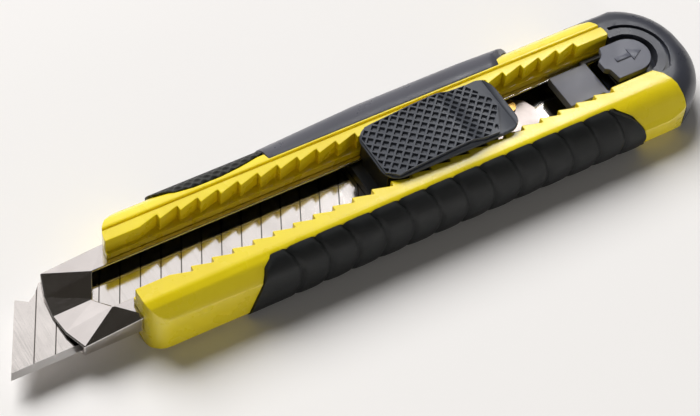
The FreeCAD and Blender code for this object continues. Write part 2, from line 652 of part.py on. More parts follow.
# ---------------------------------------------------------------- end cap
cap_form = outer_form("cap_form", "0", "cap_top")
cap_blank = common("cap_blank", cap_form, behind_seam("cap_start", "seam"))
spigot = box("spigot", "spigot_front", "tongue_x", "-tunnel_half+0.45", "tunnel_half-0.45",
             "tunnel_low+clearance", "tunnel_top-clearance")
cap_solid = fuse("cap_solid", cap_blank, spigot)


def round_end(reach):
    """Half-round end of the tongue outline about its centre."""
    steps = [(round(math.sin(math.radians(a)), 4), round(math.cos(math.radians(a)), 4))
             for a in range(15, 180, 15)]
    return [("tongue_x+%s*%g" % (reach, a), "%s*%g" % (reach, b)) if b >= 0 else
            ("tongue_x+%s*%g" % (reach, a), "-%s*%g" % (reach, -b)) for a, b in steps]


window = prism("tongue_window", "XY",
               [("tongue_x-13", "tongue_wide"), ("tongue_x", "tongue_wide")] +
               round_end("tongue_wide") +
               [("tongue_x", "-tongue_wide"), ("tongue_x-13", "-tongue_wide")],
               "8", "cap_top-3.1")
hollow = box("cap_hollow", "spigot_front-1", "tail_x-6.5", "-6.4", "6.4",
             "blade_low-blade_fit", "shoe_top+0.2")
ring_groove = cut("ring_groove", rod("ring_outer", "tongue_wide+2.7", "tongue_x", "0",
                                     "cap_top-0.9", "cap_top+2"),
                  rod("ring_inner", "tongue_wide+1.8", "tongue_x", "0",
                      "cap_top-1", "cap_top+3"))
groove_half = common("groove_half", ring_groove,
                     box("groove_side", "tongue_x", "tail_x+3", "-7", "12",
                         "cap_top-2", "cap_top+4"))
cap_cuts = fuse("cap_cuts", window, hollow, groove_half)
cap_cuts.Refine = False
node("end_cap", cut("end_cap", cap_solid, cap_cuts))

tongue_plan = [("tongue_x-4.8", "tongue_half"), ("tongue_x", "tongue_half")]
tongue_plan += round_end("tongue_half")
tongue_plan += [("tongue_x", "-tongue_half"), ("tongue_x-5.8", "-tongue_half"),
                ("tongue_x-6.2", "-1.6"), ("tongue_x-7.2", "-0.9"), ("tongue_x-7.2", "1.4"),
                ("tongue_x-5.6", "2.6")]
node("cap_latch", prism("cap_latch", "XY", tongue_plan, "1.5", "cap_top-1.4"))

plug = box("plug", "plug_front", "plug_rear", "-plug_half", "plug_half", "plug_low", "plug_top")
arms = [box("plug_arm_near", "plug_rear-1", "tongue_x-0.4", "-carrier_half", "-plug_half+0.1",
            "tunnel_top+0.2", "plug_top"),
        box("plug_arm_far", "plug_rear-1", "tongue_x-0.4", "plug_half-0.1", "carrier_half",
            "tunnel_top+0.2", "plug_top"),
        box("plug_bar", "plug_rear-1", "plug_rear", "-carrier_half", "carrier_half",
            "tunnel_top+0.2", "plug_top")]
node("cap_plug", fuse("cap_plug", plug, *arms))

# ---------------------------------------------------------------- check and export
doc.recompute()
for obj in doc.Objects:
    if "Invalid" in obj.State or "Error" in obj.State:
        raise RuntimeError("%s did not compute" % obj.Name)
os.makedirs("parts", exist_ok=True)
for obj in NODES:
    shape = obj.Shape
    if shape.isNull() or not shape.isValid() or shape.Volume <= 0:
        raise RuntimeError("%s has no sound solid" % obj.Label)
    shape.exportStep("parts/%s.step" % obj.Label)
    print("%-18s solids %d  volume %9.2f  box %s" % (
        obj.Label, len(shape.Solids), shape.Volume,
        " ".join("%.2f" % v for v in (shape.BoundBox.XMin, shape.BoundBox.XMax,
                                      shape.BoundBox.YMin, shape.BoundBox.YMax,
                                      shape.BoundBox.ZMin, shape.BoundBox.ZMax))))
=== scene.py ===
import math

import bmesh
import bpy
from mathutils import Matrix, Vector


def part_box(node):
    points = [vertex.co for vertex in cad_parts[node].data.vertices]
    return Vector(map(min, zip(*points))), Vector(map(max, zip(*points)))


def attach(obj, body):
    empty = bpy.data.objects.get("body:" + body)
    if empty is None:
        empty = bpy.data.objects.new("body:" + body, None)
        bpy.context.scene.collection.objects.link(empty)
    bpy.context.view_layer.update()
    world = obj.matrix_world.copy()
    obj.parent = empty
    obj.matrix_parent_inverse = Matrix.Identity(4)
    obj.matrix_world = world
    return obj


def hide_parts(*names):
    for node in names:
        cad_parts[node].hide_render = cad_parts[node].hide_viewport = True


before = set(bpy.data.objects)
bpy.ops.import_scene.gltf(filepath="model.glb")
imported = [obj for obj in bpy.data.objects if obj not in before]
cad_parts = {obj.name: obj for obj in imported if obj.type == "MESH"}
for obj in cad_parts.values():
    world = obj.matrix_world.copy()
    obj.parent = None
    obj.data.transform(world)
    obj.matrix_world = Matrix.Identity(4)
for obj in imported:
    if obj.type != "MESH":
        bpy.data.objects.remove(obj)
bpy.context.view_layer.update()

bl_info = {
    "name": "Snap-off utility knife",
    "version": (1, 0, 0),
    "blender": (4, 5, 0),
    "location": "3D View > Sidebar > Knife",
    "description": "Builds the visible pieces of a snap-off utility knife around its packed model",
    "category": "Object",
}

MM = 0.001
HANDLE_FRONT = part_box("casing")[0].x
PAD_LOW, PAD_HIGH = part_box("thumb_pad")
GRIP_LOW, GRIP_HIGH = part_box("near_grip")
LATCH_LOW, LATCH_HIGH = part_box("cap_latch")
CAP_LOW, CAP_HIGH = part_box("end_cap")
BLADE_LOW, BLADE_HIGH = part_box("blade")
INSIDE_HANDLE = (0, 0, 6 * MM)

# points closer than this are one, in a CAD mesh and along a seam between two strips
SAME_POINT = 0.002 * MM
SAME_SEAM = 0.01 * MM
# faces of a CAD mesh that turn less than this, in degrees, are one flat face
FLAT_TURN = 0.6


# ---------------------------------------------------------------- helpers
def linear(code):
    """Turns an sRGB hex colour into the linear numbers that a shader works in, as a setting's are."""
    if not isinstance(code, str):
        return list(code)
    parts = [int(code[i:i + 2], 16) / 255 for i in (1, 3, 5)]
    return [p / 12.92 if p <= 0.04045 else ((p + 0.055) / 1.055) ** 2.4 for p in parts] + [1.0]


def add(tree, kind, settings=None, inputs=None):
    """Adds one node to a tree, with its settings, and its inputs as values or as links. A Mix node's
    sockets go by number, because their names repeat."""
    node = tree.nodes.new("ShaderNode" + kind)
    for name, value in (settings or {}).items():
        setattr(node, name, value)
    for name, value in (inputs or {}).items():
        if isinstance(value, bpy.types.NodeSocket):
            tree.links.new(value, node.inputs[name])
        else:
            node.inputs[name].default_value = value
    return node


def hold(piece):
    """Leaves edit mode and makes one piece the only one selected."""
    if bpy.context.object and bpy.context.object.mode != "OBJECT":
        bpy.ops.object.mode_set(mode="OBJECT")
    bpy.ops.object.select_all(action="DESELECT")
    if piece:
        piece.select_set(True)
        bpy.context.view_layer.objects.active = piece


def join_onto(piece, others):
    """Joins other pieces onto one."""
    hold(piece)
    for other in others:
        other.select_set(True)
    bpy.ops.object.join()


def take_up(name):
    """Names the piece that was just added, and opens it in edit mode with all of it selected."""
    piece = bpy.context.object
    piece.name = name
    bpy.ops.object.transform_apply(location=True, rotation=True, scale=True)
    bpy.ops.object.mode_set(mode="EDIT")
    bpy.ops.mesh.select_all(action="SELECT")
    return piece


def choose(piece, kind, test):
    """Selects in edit mode the verts, edges or faces of a piece that pass a test, and counts them."""
    bpy.ops.mesh.select_mode(type={"verts": "VERT", "edges": "EDGE", "faces": "FACE"}[kind])
    bpy.ops.mesh.select_all(action="DESELECT")
    mesh = bmesh.from_edit_mesh(piece.data)
    mesh.normal_update()
    chosen = 0
    for item in getattr(mesh, kind):
        if test(item):
            item.select_set(True)
            chosen += 1
    mesh.select_flush_mode()
    bmesh.update_edit_mesh(piece.data)
    return chosen


def middle(edge):
    """The middle of an edge."""
    return (edge.verts[0].co + edge.verts[1].co) / 2


def face_outwards():
    """Turns every face of the closed shape in edit mode outwards."""
    bpy.ops.mesh.select_all(action="SELECT")
    bpy.ops.mesh.normals_make_consistent(inside=False)


def finish_with(piece, kind, **settings):
    """Adds a modifier with its settings to a piece and applies it."""
    hold(piece)
    modifier = piece.modifiers.new(kind.title(), kind)
    for name, value in settings.items():
        setattr(modifier, name, value)
    bpy.ops.object.modifier_apply(modifier=modifier.name)


def combine(piece, other, how):
    """Unites a piece with another closed shape, or keeps what they share, and throws the other away."""
    finish_with(piece, "BOOLEAN", object=other, operation=how, solver="EXACT")
    bpy.data.objects.remove(other)


def drop_onto(piece, target):
    """Lowers every point of a piece straight down onto another piece."""
    finish_with(piece, "SHRINKWRAP", target=target, wrap_method="PROJECT", use_project_z=True,
                use_negative_direction=True, use_positive_direction=False, offset=0.0)


def round_edges(piece, width, angle, segments=2, clamp=False, miter="MITER_SHARP"):
    """Rounds over the edges that turn by more than an angle."""
    finish_with(piece, "BEVEL", width=width, segments=segments, limit_method="ANGLE",
                angle_limit=math.radians(angle), use_clamp_overlap=clamp, miter_outer=miter)


def smooth(piece, angle=35):
    """Shades a piece smooth, except over edges sharper than the angle, with flat faces left flat."""
    hold(piece)
    bpy.ops.object.shade_smooth_by_angle(angle=math.radians(angle))


def even_shading(piece):
    """Lets the large faces lead the shading, so that flats stay flat up to their rounded edges."""
    finish_with(piece, "WEIGHTED_NORMAL", keep_sharp=True, weight=60)


def slice_off(point, direction, fill=True):
    """Takes off, in edit mode, what lies past a plane in the direction given."""
    bpy.ops.mesh.select_all(action="SELECT")
    bpy.ops.mesh.bisect(plane_co=point, plane_no=Vector(direction).normalized(), use_fill=fill,
                        clear_outer=True, threshold=1e-7)


def cad_copy(node, name):
    """A new piece with a merged copy of a CAD node's mesh, its flat faces joined up."""
    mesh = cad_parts[node].data.copy()
    mesh.materials.clear()
    piece = bpy.data.objects.new(name, mesh)
    bpy.context.scene.collection.objects.link(piece)
    hold(piece)
    if mesh.has_custom_normals:
        bpy.ops.mesh.customdata_custom_splitnormals_clear()
    bpy.ops.object.mode_set(mode="EDIT")
    bpy.ops.mesh.select_all(action="SELECT")
    bpy.ops.mesh.remove_doubles(threshold=SAME_POINT)
    bpy.ops.mesh.dissolve_limited(angle_limit=math.radians(FLAT_TURN))
    bpy.ops.object.mode_set(mode="OBJECT")
    return piece


def moulded_copy(node, name, radius, angle=28, shade=38):
    """A CAD node with its sharp edges rounded over as a mould leaves them."""
    piece = cad_copy(node, name)
    round_edges(piece, radius, angle, miter="MITER_ARC")
    smooth(piece, shade)
    even_shading(piece)
    return piece


def give(piece, body, material, stands_for):
    """Hands a finished piece to its body and its finish, in place of CAD nodes."""
    hold(None)
    piece.data.materials.clear()
    piece.data.materials.append(material)
    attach(piece, body)
    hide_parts(*stands_for)


def paint(node, material):
    """Gives a carried-over CAD node its finish."""
    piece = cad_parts[node]
    if not piece.material_slots:
        piece.data.materials.append(material)
    for slot in piece.material_slots:
        slot.link = "OBJECT"
        slot.material = material


# ---------------------------------------------------------------- finishes
def new_finish(name):
    """An empty finish: its material, its tree, its surface shader and the place in the object."""
    material = bpy.data.materials.new(name)
    material.use_nodes = True
    tree = material.node_tree
    tree.nodes.clear()
    surface = add(tree, "BsdfPrincipled")
    add(tree, "OutputMaterial", inputs={"Surface": surface.outputs["BSDF"]})
    place = add(tree, "TexCoord").outputs["Object"]
    return material, tree, surface, place


def moulded_plastic(name, colour, shade, roughness, grain_mm=0.4, grain_deep_mm=0.01, coat=0.0):
    """Injection-moulded plastic: a satin skin with a fine spark-eroded grain, a little cloudiness in the
    colour, and gloss that comes and goes where hands have polished it."""
    cloud_mm, handled_mm = 14, 5
    material, tree, surface, place = new_finish(name)
    cloud = add(tree, "TexNoise", inputs={"Vector": place, "Scale": 1 / (cloud_mm * MM), "Detail": 3.0})
    tint = add(tree, "ValToRGB", inputs={"Fac": cloud.outputs["Fac"]})
    tint.color_ramp.elements[0].position = 0.30
    tint.color_ramp.elements[0].color = linear(shade)
    tint.color_ramp.elements[1].position = 0.62
    tint.color_ramp.elements[1].color = linear(colour)
    handled = add(tree, "TexNoise", inputs={"Vector": place, "Scale": 1 / (handled_mm * MM),
                                            "Detail": 5.0})
    gloss = add(tree, "MapRange", inputs={"Value": handled.outputs["Fac"],
                                          "From Min": 0.3, "From Max": 0.7,
                                          "To Min": roughness - 0.05, "To Max": roughness + 0.07})
    # the real grain is about 0.1 mm; it is drawn coarser so that it shows
    grain = add(tree, "TexNoise", inputs={"Vector": place, "Scale": 1 / (grain_mm * MM), "Detail": 2.0})
    relief = add(tree, "Bump", inputs={"Height": grain.outputs["Fac"], "Strength": 0.35,
                                       "Distance": grain_deep_mm * MM})
    tree.links.new(tint.outputs["Color"], surface.inputs["Base Color"])
    tree.links.new(gloss.outputs["Result"], surface.inputs["Roughness"])
    tree.links.new(relief.outputs["Normal"], surface.inputs["Normal"])
    surface.inputs["IOR"].default_value = 1.53
    surface.inputs["Coat Weight"].default_value = coat
    surface.inputs["Coat Roughness"].default_value = 0.22
    return material


def moulded_rubber(name, colour, dust, knurl_mm=0.0):
    """Thermoplastic rubber moulded over the handle: matt, with a fine pebbled skin and a grey bloom of
    handling that sits in the pebbles. Where it is knurled, two sets of slanting ridges cross, and
    their pits are painted darker, as painted shade."""
    pebble_mm, bloom_mm = 0.55, 3.5
    pebble_deep_mm, knurl_deep_mm = 0.05, 0.5
    material, tree, surface, place = new_finish(name)
    pebble = add(tree, "TexVoronoi", {"feature": "SMOOTH_F1"},
                 {"Vector": place, "Scale": 1 / (pebble_mm * MM), "Smoothness": 0.6})
    bloom = add(tree, "TexNoise", inputs={"Vector": place, "Scale": 1 / (bloom_mm * MM),
                                          "Detail": 6.0, "Roughness": 0.6})
    amount = add(tree, "MapRange", inputs={"Value": bloom.outputs["Fac"],
                                           "From Min": 0.35, "From Max": 0.75,
                                           "To Min": 0.0, "To Max": 0.8})
    tint = add(tree, "Mix", {"data_type": "RGBA"}, {"Factor": amount.outputs["Result"]})
    tint.inputs[6].default_value = linear(colour)
    tint.inputs[7].default_value = linear(dust)
    gloss = add(tree, "MapRange", inputs={"Value": bloom.outputs["Fac"],
                                          "From Min": 0.3, "From Max": 0.7,
                                          "To Min": 0.50, "To Max": 0.66})
    relief = add(tree, "Bump", inputs={"Height": pebble.outputs["Distance"], "Strength": 0.30,
                                       "Distance": pebble_deep_mm * MM})
    if knurl_mm:
        ridges = []
        for slant in (1, -1):
            way = [k * math.pi / (knurl_mm * MM) for k in (0.7, -0.5 * slant, 0.5 * slant)]
            along = add(tree, "VectorMath", {"operation": "DOT_PRODUCT"}, {0: place, 1: way})
            wave = add(tree, "Math", {"operation": "SINE"}, {0: along.outputs["Value"]})
            ridges.append(add(tree, "Math", {"operation": "ABSOLUTE"}, {0: wave.outputs["Value"]}))
        pits = add(tree, "Math", {"operation": "MULTIPLY"},
                   {0: ridges[0].outputs[0], 1: ridges[1].outputs[0]})
        deep = add(tree, "Bump", {"invert": True},
                   {"Height": pits.outputs[0], "Strength": 0.9, "Distance": knurl_deep_mm * MM,
                    "Normal": relief.outputs["Normal"]})
        # painted shade: the colour is multiplied darker down in the knurl's pits
        dark = add(tree, "Mix", {"data_type": "RGBA", "blend_type": "MULTIPLY"},
                   {"Factor": pits.outputs[0], 6: tint.outputs[2]})
        dark.inputs[7].default_value = linear("#3A3A3A")
        relief, tint = deep, dark
    tree.links.new(tint.outputs[2], surface.inputs["Base Color"])
    tree.links.new(gloss.outputs["Result"], surface.inputs["Roughness"])
    tree.links.new(relief.outputs["Normal"], surface.inputs["Normal"])
    surface.inputs["IOR"].default_value = 1.5
    return material


def drawn_steel(name, colour, shade, roughness, line_mm, across=False, streak=0.06, stretch=60):
    """Steel with the fine parallel lines of rolling or grinding. They run along the strip, or across it
    where across is set, and stretch the highlights the other way."""
    blotch_mm, line_deep_mm = 6, 0.01
    material, tree, surface, place = new_finish(name)
    lines = (1, stretch, 1) if across else (stretch, 1, 1)
    mapping = add(tree, "Mapping", inputs={"Vector": place,
                                           "Scale": [1 / (line_mm * MM) / k for k in lines]})
    scratch = add(tree, "TexNoise", inputs={"Vector": mapping.outputs["Vector"], "Scale": 1.0,
                                            "Detail": 4.0})
    blotch = add(tree, "TexNoise", inputs={"Vector": place, "Scale": 1 / (blotch_mm * MM),
                                           "Detail": 4.0})
    tint = add(tree, "ValToRGB", inputs={"Fac": blotch.outputs["Fac"]})
    tint.color_ramp.elements[0].position = 0.32
    tint.color_ramp.elements[0].color = linear(shade)
    tint.color_ramp.elements[1].position = 0.60
    tint.color_ramp.elements[1].color = linear(colour)
    gloss = add(tree, "MapRange", inputs={"Value": scratch.outputs["Fac"],
                                          "From Min": 0.3, "From Max": 0.7,
                                          "To Min": max(roughness - streak, 0.02),
                                          "To Max": roughness + streak})
    relief = add(tree, "Bump", inputs={"Height": scratch.outputs["Fac"], "Strength": 0.12,
                                       "Distance": line_deep_mm * MM})
    tree.links.new(tint.outputs["Color"], surface.inputs["Base Color"])
    tree.links.new(gloss.outputs["Result"], surface.inputs["Roughness"])
    tree.links.new(relief.outputs["Normal"], surface.inputs["Normal"])
    surface.inputs["Metallic"].default_value = 1.0
    return material


# ---------------------------------------------------------------- settings
def tone(name, description, code):
    """A colour setting with its usual value as a hex code."""
    return bpy.props.FloatVectorProperty(name=name, description=description, subtype="COLOR", size=4,
                                         min=0.0, max=1.0, default=linear(code))


class KnifeColours(bpy.types.PropertyGroup):
    """The colours that change from one maker's knife to the next."""
    casing: tone("Casing", "Colour of the moulded casing", "#F1DB1A")
    casing_cloud: tone("Casing cloud", "Cloudier tone in the casing's colour", "#E9D012")
    side_grip: tone("Side grip", "Colour of the smooth grip along the far side", "#4A4B54")
    side_grip_cloud: tone("Side grip cloud", "Cloudier tone in the side grip's colour", "#42434C")
    cap: tone("End cap", "Colour of the end cap", "#3C3E47")
    cap_cloud: tone("End cap cloud", "Cloudier tone in the end cap's colour", "#33353D")
    thumb_pad: tone("Thumb pad", "Colour of the thumb pad", "#4C4F56")
    thumb_pad_cloud: tone("Thumb pad cloud", "Cloudier tone in the thumb pad's colour", "#42454C")
    floor: tone("Floor", "Colour of the table under the knife", "#F3F1EF")


class KnifeSizes(bpy.types.PropertyGroup):
    """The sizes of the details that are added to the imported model."""
    mould_radius: bpy.props.FloatProperty(
        name="Mould radius", description="Rounding of the moulded edges", unit="LENGTH",
        default=0.22 * MM, min=0.05 * MM, max=0.6 * MM)
    press_radius: bpy.props.FloatProperty(
        name="Press radius", description="Rounding of the folds in the pressed steel", unit="LENGTH",
        default=0.25 * MM, min=0.05 * MM, max=0.6 * MM)
    knurl_pitch: bpy.props.FloatProperty(
        name="Knurl pitch", description="Side of one diamond of the knurl", unit="LENGTH",
        default=1.6 * MM, min=1.0 * MM, max=3.0 * MM)
    knurl_deep: bpy.props.FloatProperty(
        name="Knurl depth", description="Depth of one diamond pit", unit="LENGTH",
        default=0.5 * MM, min=0.1 * MM, max=0.8 * MM)
    rib_pitch: bpy.props.FloatProperty(
        name="Rib pitch", description="Distance from one rib groove to the next", unit="LENGTH",
        default=6.4 * MM, min=4 * MM, max=10 * MM)


# ---------------------------------------------------------------- pieces
class KNIFE_OT_casing(bpy.types.Operator):
    """Builds the yellow handle casing with rounded mould edges"""
    bl_idname = "knife.casing"
    bl_label = "Casing"

    def execute(self, context):
        sizes, colours = context.scene.knife_sizes, context.scene.knife_colours
        piece = moulded_copy("casing", "handle_casing", sizes.mould_radius)
        give(piece, "handle",
             moulded_plastic("lemon_yellow_moulded_ABS", colours.casing, colours.casing_cloud,
                             roughness=0.28, grain_mm=0.45, grain_deep_mm=0.012, coat=0.8),
             ["casing"])
        return {"FINISHED"}


def section_line(points):
    """A smooth line through the air that follows the corners given, in millimetres, as an edge mesh."""
    hold(None)
    bpy.ops.curve.primitive_nurbs_path_add()
    line = bpy.context.object
    spline = line.data.splines[0]
    spline.points.add(len(points) - len(spline.points))
    for point, (x, y, z) in zip(spline.points, points):
        point.co = (x * MM, y * MM, z * MM, 1.0)
    spline.order_u = 3
    spline.use_endpoint_u = True
    line.data.resolution_u = 2
    bpy.ops.object.convert(target="MESH")
    return bpy.context.object


def side_skin(name, sections, cuts):
    """The outside of a panel round the side of the handle, stretched from section to section with so
    many cuts between them, and left open in edit mode."""
    strips = []
    for first, last, number in zip(sections, sections[1:], cuts):
        strip = section_line(first)
        join_onto(strip, [section_line(last)])
        bpy.ops.object.mode_set(mode="EDIT")
        bpy.ops.mesh.select_mode(type="EDGE")
        bpy.ops.mesh.select_all(action="SELECT")
        bpy.ops.mesh.bridge_edge_loops(number_cuts=number, interpolation="LINEAR")
        bpy.ops.object.mode_set(mode="OBJECT")
        strips.append(strip)
    piece = strips[0]
    if len(strips) > 1:
        join_onto(piece, strips[1:])
    hold(piece)
    piece.name = name
    bpy.ops.object.mode_set(mode="EDIT")
    bpy.ops.mesh.select_all(action="SELECT")
    bpy.ops.mesh.remove_doubles(threshold=SAME_SEAM)
    bpy.ops.mesh.normals_make_consistent(inside=False)
    mesh = bmesh.from_edit_mesh(piece.data)
    if sum(f.normal.dot(f.calc_center_median() - Vector(INSIDE_HANDLE)) for f in mesh.faces) < 0:
        bpy.ops.mesh.flip_normals()
    return piece


def thicken_skin(piece, thick):
    """Gives a panel's outside its thickness, inwards."""
    finish_with(piece, "SOLIDIFY", thickness=thick, offset=-1.0)


def round_ends(outline):
    """Cuts the panel in edit mode down to a side outline, in millimetres, clockwise seen from the near
    side, and leaves edit mode."""
    for (x0, z0), (x1, z1) in zip(outline, outline[1:]):
        slice_off((x0 * MM, 0, z0 * MM), (-(z1 - z0), 0, x1 - x0))
    face_outwards()
    bpy.ops.object.mode_set(mode="OBJECT")


class KNIFE_OT_near_grip(bpy.types.Operator):
    """Builds the rubber grip along the near side, with its curved rib grooves"""
    bl_idname = "knife.near_grip"
    bl_label = "Near grip"

    # the section from top to foot: out from the middle, up, and how far it leans back, in millimetres
    section = ((11.0, 13.12, 0.0), (12.0, 13.1, 0.45), (13.3, 12.2, 1.1), (14.5, 10.8, 1.75),
               (15.6, 9.0, 2.25), (16.4, 7.0, 2.5), (16.5, 5.2, 2.4), (16.3, 3.5, 2.0),
               (15.5, 2.0, 1.5), (14.2, 0.7, 0.8), (12.6, 0.05, 0.2), (11.4, 0.05, 0.0))
    # the skin's height in millimetres, step by step from the bottom of a groove to the rib's crown
    heights = (-0.50, -0.26, -0.05, 0.02, 0.05, 0.07, 0.09, 0.10, 0.10)
    steps, grooves, first_groove = 16, 13, -31.5 * MM
    front_half, rear_half, most_lean = 14.75, 16.45, 2.6 * MM

    def execute(self, context):
        step = context.scene.knife_sizes.rib_pitch / self.steps
        start = GRIP_LOW.x - 4 * MM
        count = int(round((GRIP_HIGH.x + 3 * MM - start) / step))
        rows = []
        for x, side in ((start, self.front_half), (start + count * step, self.rear_half)):
            rows.append([(x / MM + lean, -min(y, side), z) for y, z, lean in self.section])
        piece = side_skin("ribbed_grip", rows, (count - 1,))
        mesh = bmesh.from_edit_mesh(piece.data)
        half = self.most_lean / 2
        front = [v.co.copy() for v in mesh.verts if v.is_boundary and abs(v.co.x - start - half) < half]

        def column(vert):
            """The number of steps that a point is behind the front section, along its own line."""
            lean = min(front, key=lambda f: abs(f.z - vert.co.z) + 0.3 * abs(f.y - vert.co.y)).x
            return round((vert.co.x - lean) / step)

        first = round((self.first_groove - start) / step)
        last = first + self.steps * self.grooves
        for phase in range(self.steps):
            level = self.heights[min(phase, self.steps - phase)]
            if choose(piece, "verts", lambda v: first - 1 <= column(v) < last
                      and (column(v) - first) % self.steps == phase and v.co.z > 0.06 * MM):
                bpy.ops.transform.shrink_fatten(value=level * MM)
        bpy.ops.object.mode_set(mode="OBJECT")
        thicken_skin(piece, 1.5 * MM)
        bpy.ops.object.mode_set(mode="EDIT")
        round_ends([(-41.04, 0), (-37.7, 9.7), (-36.6, 11.8), (-34.5, 13.0)])
        bpy.ops.object.mode_set(mode="EDIT")
        round_ends([(43.4, 13.3), (45.6, 13.0), (47.8, 12.2), (49.8, 11.1), (51.4, 9.6), (52.5, 7.8),
                    (53.1, 6.0), (53.4, 3.0), (53.55, 0)])
        smooth(piece, 50)
        give(piece, "handle",
             moulded_rubber("black_moulded_rubber", "#161818", "#202223"), ["near_grip"])
        return {"FINISHED"}


class KNIFE_OT_far_grip(bpy.types.Operator):
    """Builds the smooth grey grip and the textured finger pad along the far side"""
    bl_idname = "knife.far_grip"
    bl_label = "Far grip"

    # three sections from top to foot, out from the middle and up, in millimetres
    lean = ((9.95, 13.1), (11.5, 13.05), (13.2, 12.2), (14.8, 10.6), (15.7, 8.8), (15.9, 7.0),
            (15.8, 5.0), (15.4, 3.4), (14.8, 2.2), (13.8, 1.0), (12.6, 0.3), (11.6, 0.05))
    full = ((9.95, 13.1), (12.5, 13.1), (14.4, 12.3), (15.8, 10.9), (16.7, 9.0), (16.88, 7.0),
            (16.8, 5.0), (16.5, 3.5), (15.8, 2.2), (14.6, 1.0), (13.1, 0.3), (11.6, 0.05))
    rear = ((9.95, 13.1), (12.0, 13.1), (13.9, 12.2), (15.4, 10.6), (16.4, 8.8), (16.7, 7.0),
            (16.6, 5.0), (16.2, 3.5), (15.5, 2.2), (14.4, 1.0), (13.0, 0.3), (11.6, 0.05))

    def execute(self, context):
        sizes, colours = context.scene.knife_sizes, context.scene.knife_colours
        rows = [[(x, y, z) for y, z in corners]
                for x, corners in ((-23.3, self.lean), (0.0, self.full), (25.0, self.full),
                                   (43.0, self.rear))]
        piece = side_skin("smooth_grip", rows, (14, 10, 10))
        bpy.ops.object.mode_set(mode="OBJECT")
        thicken_skin(piece, 1.4 * MM)
        bpy.ops.object.mode_set(mode="EDIT")
        round_ends([(30.0, 13.3), (32.5, 12.6), (35.0, 11.2), (37.2, 9.3), (38.8, 7.2), (39.6, 4.8),
                    (39.77, 0)])
        round_edges(piece, 0.25 * MM, 50)
        smooth(piece, 40)
        give(piece, "handle",
             moulded_plastic("slate_grey_satin_moulding", colours.side_grip, colours.side_grip_cloud,
                             roughness=0.30), ["far_grip"])

        piece = moulded_copy("knurled_pad", "finger_pad", sizes.mould_radius)
        give(piece, "handle",
             moulded_rubber("black_knurled_rubber", "#2C2E2D", "#3C3F3C", knurl_mm=1.5),
             ["knurled_pad"])
        return {"FINISHED"}


class KNIFE_OT_nose(bpy.types.Operator):
    """Builds the pressed steel channel with its folded nose"""
    bl_idname = "knife.nose"
    bl_label = "Steel nose"

    def execute(self, context):
        piece = cad_copy("blade_channel", "pressed_channel")
        round_edges(piece, context.scene.knife_sizes.press_radius, 30, segments=3, miter="MITER_ARC")
        smooth(piece, 32)
        # the facets of the folded nose meet in crisp lines, though they turn by only a few degrees
        hood_end, facing_up, crease = HANDLE_FRONT + 1.5 * MM, 0.85, math.radians(4)
        bpy.ops.object.mode_set(mode="EDIT")
        choose(piece, "edges", lambda e: len(e.link_faces) == 2 and middle(e).x < hood_end
               and all(f.normal.z > facing_up for f in e.link_faces) and e.calc_face_angle() > crease)
        bpy.ops.mesh.mark_sharp()
        bpy.ops.object.mode_set(mode="OBJECT")
        even_shading(piece)
        give(piece, "handle",
             drawn_steel("bright_chromed_pressed_steel", "#E9E4E2", "#E0DBD9", roughness=0.12,
                         line_mm=0.25, streak=0.03, stretch=20), ["blade_channel"])
        return {"FINISHED"}


class KNIFE_OT_blades(bpy.types.Operator):
    """Gives the blade in use and the spare blades their ground steel"""
    bl_idname = "knife.blades"
    bl_label = "Blades"

    def ground_steel(self):
        """Blade steel ground across: bright on the flat, duller on the coarser ground bevel, and painted
        darker down in the snap lines, as painted shade."""
        material = drawn_steel("ground_carbon_blade_steel", "#F2EEEB", "#E8E4E1", roughness=0.11,
                               line_mm=0.12, across=True)
        tree = material.node_tree
        surface = next(n for n in tree.nodes if n.type == "BSDF_PRINCIPLED")
        colour = surface.inputs["Base Color"].links[0].from_socket
        gloss = surface.inputs["Roughness"].links[0].from_socket
        split = add(tree, "SeparateXYZ", inputs={"Vector": add(tree, "TexCoord").outputs["Object"]})
        top, bevel_end = BLADE_HIGH.z, BLADE_LOW.y + 1.35 * MM
        # three masks: below the top face, above the bottom of a snap line, and past the ground bevel
        sunk, upper, flat = (
            add(tree, "MapRange", inputs={"Value": split.outputs[axis], "From Min": low,
                                          "From Max": high, "To Min": 0.0, "To Max": 1.0})
            for axis, low, high in (("Z", top - 0.02 * MM, top - 0.06 * MM),
                                    ("Z", top - 0.26 * MM, top - 0.22 * MM),
                                    ("Y", bevel_end, bevel_end + 0.1 * MM)))
        inside = add(tree, "Math", {"operation": "MULTIPLY"}, {0: sunk.outputs[0], 1: upper.outputs[0]})
        line = add(tree, "Math", {"operation": "MULTIPLY"}, {0: inside.outputs[0], 1: flat.outputs[0]})
        # painted shade: the colour is darkened down in the snap lines, past the ground bevel
        tint = add(tree, "Mix", {"data_type": "RGBA"}, {"Factor": line.outputs[0], 6: colour})
        tint.inputs[7].default_value = linear("#7A7572")
        dull = add(tree, "Mix", {"data_type": "FLOAT"}, {"Factor": flat.outputs[0], 3: gloss})
        dull.inputs[2].default_value = 0.52
        tree.links.new(tint.outputs[2], surface.inputs["Base Color"])
        tree.links.new(dull.outputs[0], surface.inputs["Roughness"])
        return material

    def execute(self, context):
        paint("blade", self.ground_steel())
        paint("spare_blades", drawn_steel("oiled_spare_blade_steel", "#B9B5B0", "#A39F9A",
                                          roughness=0.26, line_mm=0.12, across=True))
        return {"FINISHED"}


